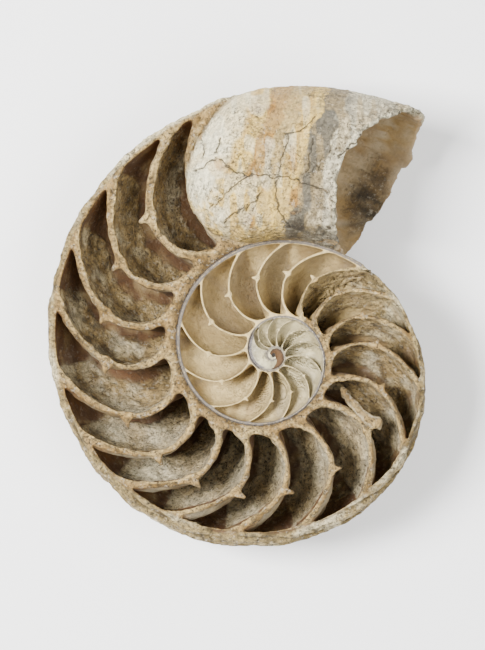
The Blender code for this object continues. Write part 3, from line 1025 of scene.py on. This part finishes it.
def add_piece(name, low, high, step, most, first=None, last=None, bottom=None, top=None):
    """One closed mesh of the shell: the stretch between two septa, or between two heights."""
    x, y, z = (
        np.arange(low[axis], high[axis], step, dtype=np.float32).reshape(np.roll((-1, 1, 1), axis))
        for axis in range(3)
    )
    field, unswept = shell_field(x, y, z)
    if first is not None or last is not None:
        mine = np.ones(field.shape, bool)
        if first is not None:
            mine &= unswept >= first
        if last is not None:
            mine &= unswept < last
        keep = blurred(blurred(np.where(mine, 1.0, -1.0).astype(np.float32)))
        field = np.maximum(field, -(keep + (0.6 if first is not None else 0.0)) * 2.0 * step)
    if bottom is not None:
        field = np.maximum(field, bottom - z)
    if top is not None:
        field = np.maximum(field, z - top)
    for axis in range(3):
        for end in (0, -1):
            index = [slice(None)] * 3
            index[axis] = end
            field[tuple(index)] = 1.0
    points, quads = surface_net(field, low, step)
    mesh = net_mesh(name, evened(points, quads), quads)
    roughened(mesh)
    piece = bpy.data.objects.new(name, mesh)
    bpy.context.scene.collection.objects.link(piece)
    thinned(piece, most)
    painted(piece.data)
    piece.data.transform(coil_to_row())
    kept_inside(piece.data)
    piece.data.shade_smooth()
    return piece


def node(tree, kind, **values):
    made = tree.nodes.new(kind)
    for key, value in values.items():
        setattr(made, key, value)
    return made


class Value:
    """A number or colour in the shader. A formula over such values builds its own nodes."""

    def __init__(self, tree, socket):
        self.tree = tree
        self.socket = socket

    def feed(self, made, inputs, output=0):
        """The output of a new node whose inputs get these values or plain numbers."""
        for number, value in inputs.items():
            if isinstance(value, Value):
                self.tree.links.new(value.socket, made.inputs[number])
            else:
                made.inputs[number].default_value = value
        return Value(self.tree, made.outputs[output])

    def math(self, operation, *others):
        made = node(self.tree, "ShaderNodeMath", operation=operation)
        return self.feed(made, dict(enumerate((self, *others))))

    def __add__(self, other):
        return self.math("ADD", other)

    def __sub__(self, other):
        return self.math("SUBTRACT", other)

    def __mul__(self, other):
        return self.math("MULTIPLY", other)

    def __truediv__(self, other):
        return self.math("DIVIDE", other)

    def __abs__(self):
        return self.math("ABSOLUTE")

    def ramp(self, low, high):
        """0 below low and 1 above high, softly between, or the other way round where low is above high."""
        made = node(self.tree, "ShaderNodeMapRange", interpolation_type="SMOOTHSTEP")
        return self.feed(made, {0: self, 1: low, 2: high})

    def over(self, colour, share):
        """This colour with that much of another one over it."""
        made = node(self.tree, "ShaderNodeMix", data_type="RGBA")
        return self.feed(made, {0: share, 6: self, 7: colour}, 2)

    def scaled(self, share):
        made = node(self.tree, "ShaderNodeVectorMath", operation="SCALE")
        return self.feed(made, {0: self, "Scale": share})


def noise(place, size_mm, detail=4.0, rough=0.6):
    """Smooth noise with lumps of this size, between -0.5 and 0.5."""
    made = node(place.tree, "ShaderNodeTexNoise")
    inputs = {"Vector": place, "Scale": 1.0 / (size_mm * MM), "Detail": detail, "Roughness": rough}
    return place.feed(made, inputs, "Fac") - 0.5


def stretched(growth, place):
    """A place for noise that changes fast across the lines of growth and slowly along them."""
    tree = place.tree
    split = node(tree, "ShaderNodeSeparateXYZ")
    tree.links.new(place.socket, split.inputs[0])
    east, north = (Value(tree, split.outputs[axis]) * STREAK_STRETCH for axis in range(2))
    return place.feed(node(tree, "ShaderNodeCombineXYZ"), {0: growth * MM, 1: east, 2: north})


def crack_share(marks, fleck):
    """1 on the cracks of the near wall, whose edges wander."""
    near = abs(marks["beside"] + fleck * 1.3) / (fleck * 0.5 + 0.27)
    return near.ramp(1.0, 0.35) * marks["past"].ramp(0.3, -0.1)


def wall_line(marks, fleck):
    """The dark double line where one whorl's wall lies on the next."""
    away = marks["seam"] + fleck * 0.5 - WALL_LINE_APART
    return abs(away).ramp(0.40, 0.20) * marks["sawn"] * 0.92


def nucleus_marks(marks, speck):
    """The first chamber's brown comma, and its dark outline with the painted shade of the hole at its head.
    """
    east, north = marks["east"], marks["north"]
    away = (east * east + north * north).math("SQRT") + speck * 0.9
    angle = (north.math("ARCTAN2", east) + math.radians(COMMA_TAIL)).math("WRAP", 2.0 * math.pi, 0.0)
    inside = angle * -COMMA_SHRINK + COMMA_REACH - away
    past = angle * COMMA_OPENS - COMMA_REACH + away
    cut = marks["sawn"].ramp(0.05, 0.25)
    comma = inside.ramp(-0.1, 0.1) * past.ramp(-0.15, 0.15) * cut
    outline = inside.ramp(0.7, 0.2) * comma * 0.6
    return comma, outline.math("MAXIMUM", away.ramp(HOLE + 0.2, HOLE) * cut)


def vein_share(place, blotch, grain):
    """Thin dark crevices that wander over the worn surfaces and stop where the blotches are dark."""
    away = abs(noise(place, 4.5, 6.0, 0.68))
    return away.ramp(0.018, 0.005) * blotch.ramp(-0.02, 0.10) * grain * 0.85


def shell_material():
    """One skin for all pieces: each vertex's tint, with grain, flecks, veins, lines and cracks over it."""
    material = bpy.data.materials.new("old_shell_skin")
    material.use_nodes = True
    tree = material.node_tree
    shader = tree.nodes["Principled BSDF"]
    place = Value(tree, node(tree, "ShaderNodeTexCoord").outputs["Object"])
    tint = Value(tree, node(tree, "ShaderNodeAttribute", attribute_name="tint").outputs["Color"])
    marks = {
        name: Value(tree, node(tree, "ShaderNodeAttribute", attribute_name=name).outputs["Fac"])
        for name in MARKS
    }
    grain = marks["grain"]
    blotch = noise(place, 3.4, 5.0)
    crumb = noise(place, 1.25, 6.0, 0.74)
    speck = noise(place, 0.75, 3.0, 0.65)
    fleck = noise(place, 1.6, 4.0, 0.7)
    streak = noise(stretched(marks["growth"], place), 0.55, 4.0, 0.6)
    dark = speck.ramp(0.06, 0.16) * grain * 0.9
    vein = vein_share(place, blotch, grain)
    crack = crack_share(marks, fleck)
    comma, outline_and_hole_shade = nucleus_marks(marks, speck)

    light = blotch * 0.9 + 0.98 + crumb * 3.4 * grain + streak * 1.5 * (grain * 0.85 + 0.06)
    colour = tint.scaled(light.math("MAXIMUM", 0.25))
    colour = colour.over(FLECK_PALE, fleck.ramp(0.04, 0.18) * grain * 0.45)
    colour = colour.over(SPECK_DARK, dark)
    colour = colour.over(VEIN_DARK, vein)
    colour = colour.over(LINE_DARK, wall_line(marks, fleck))
    colour = colour.over(COMMA_BROWN, comma)
    # The comma's own dark outline, and painted shade for the hole at its head.
    colour = colour.over(HOLE_DARK, outline_and_hole_shade)
    colour = colour.over(CRACK_DARK, crack * 0.85)
    rich = colour.feed(node(tree, "ShaderNodeHueSaturation"), {"Saturation": 1.08, "Color": colour})
    tree.links.new(rich.socket, shader.inputs["Base Color"])

    dull = marks["gloss"] * -0.62 + 0.84 + blotch * 0.25
    tree.links.new(dull.math("MINIMUM", 1.0).math("MAXIMUM", 0.0).socket, shader.inputs["Roughness"])

    height = (crumb + 0.5) * (grain * 1.6 + 0.12) + (streak + 0.5) * grain * 0.5
    height = height - dark * 0.5 - crack * 1.2 - vein
    relief = {"Strength": 0.9, "Distance": 0.9 * MM, "Height": height}
    bump = height.feed(node(tree, "ShaderNodeBump"), relief)
    tree.links.new(bump.socket, shader.inputs["Normal"])
    return material


# Each piece's grid, from its low to its high corner, its step and its most triangles, and where it ends:
# at a septum, by turn, or at a height over the saw cut.
PIECES = (
    ("outer_whorl", (-72.0, -62.0, -37.0), (50.0, 90.0, 1.5), 0.46, 195000,
     {"last": INNER_WHORLS, "top": 0.6}),
    ("near_wall", (-32.0, 26.0, -0.6), (50.0, 90.0, 26.0), 0.34, 150000,
     {"last": INNER_WHORLS, "bottom": 0.3}),
    ("inner_whorls", (-38.0, -38.0, -18.0), (40.0, 42.0, 0.45), 0.30, 195000,
     {"first": INNER_WHORLS, "last": NUCLEUS_START}),
    ("nucleus", (-14.0, -14.0, -10.0), (14.0, 14.0, 0.45), 0.13, 190000, {"first": NUCLEUS_START}),
)


def add_shell():
    material = shell_material()
    for name, low, high, step, most, ends in PIECES:
        piece = add_piece(name, low, high, step, most, **ends)
        piece.data.materials.append(material)
        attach(piece, "root")
        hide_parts(NODE)


def add_floor():
    bpy.ops.mesh.primitive_plane_add(size=6.0, location=(0.0, 0.0, 0.0))
    floor = bpy.context.active_object
    floor.name = "floor"
    material = bpy.data.materials.new("floor_pale")
    material.use_nodes = True
    shader = material.node_tree.nodes["Principled BSDF"]
    shader.inputs["Base Color"].default_value = FLOOR_PALE
    shader.inputs["Roughness"].default_value = 0.9
    floor.data.materials.append(material)


def add_light(name, place, energy, size):
    data = bpy.data.lights.new(name, "AREA")
    data.energy = energy
    data.size = size
    light = bpy.data.objects.new(name, data)
    light.location = place
    light.rotation_euler = (-Vector(place)).to_track_quat("-Z", "Y").to_euler()
    bpy.context.scene.collection.objects.link(light)


def add_world():
    world = bpy.data.worlds.new("studio")
    world.use_nodes = True
    background = world.node_tree.nodes["Background"]
    background.inputs["Color"].default_value = WORLD_COLOUR
    background.inputs["Strength"].default_value = WORLD_STRENGTH
    bpy.context.scene.world = world


def add_camera():
    """Looks along the saw cut's normal, with the coil's centre where the photograph has it."""
    to_row = coil_to_row()
    turned = to_row.to_3x3()
    middle = to_row @ (Vector((*PHOTO_MIDDLE, 0.0)) * MM)
    normal = turned @ Vector((0.0, 0.0, 1.0))
    data = bpy.data.cameras.new("camera")
    data.sensor_fit = "VERTICAL"
    data.sensor_height = 36.0
    data.lens = data.sensor_height * CAMERA_AWAY / PHOTO_TALL
    camera = bpy.data.objects.new("camera", data)
    camera.matrix_world = Matrix.Translation(middle + normal * CAMERA_AWAY * MM) @ turned.to_4x4()
    bpy.context.scene.collection.objects.link(camera)
    bpy.context.scene.camera = camera


add_shell()
add_floor()
add_world()
for light in LIGHTS:
    add_light(*light)
add_camera()
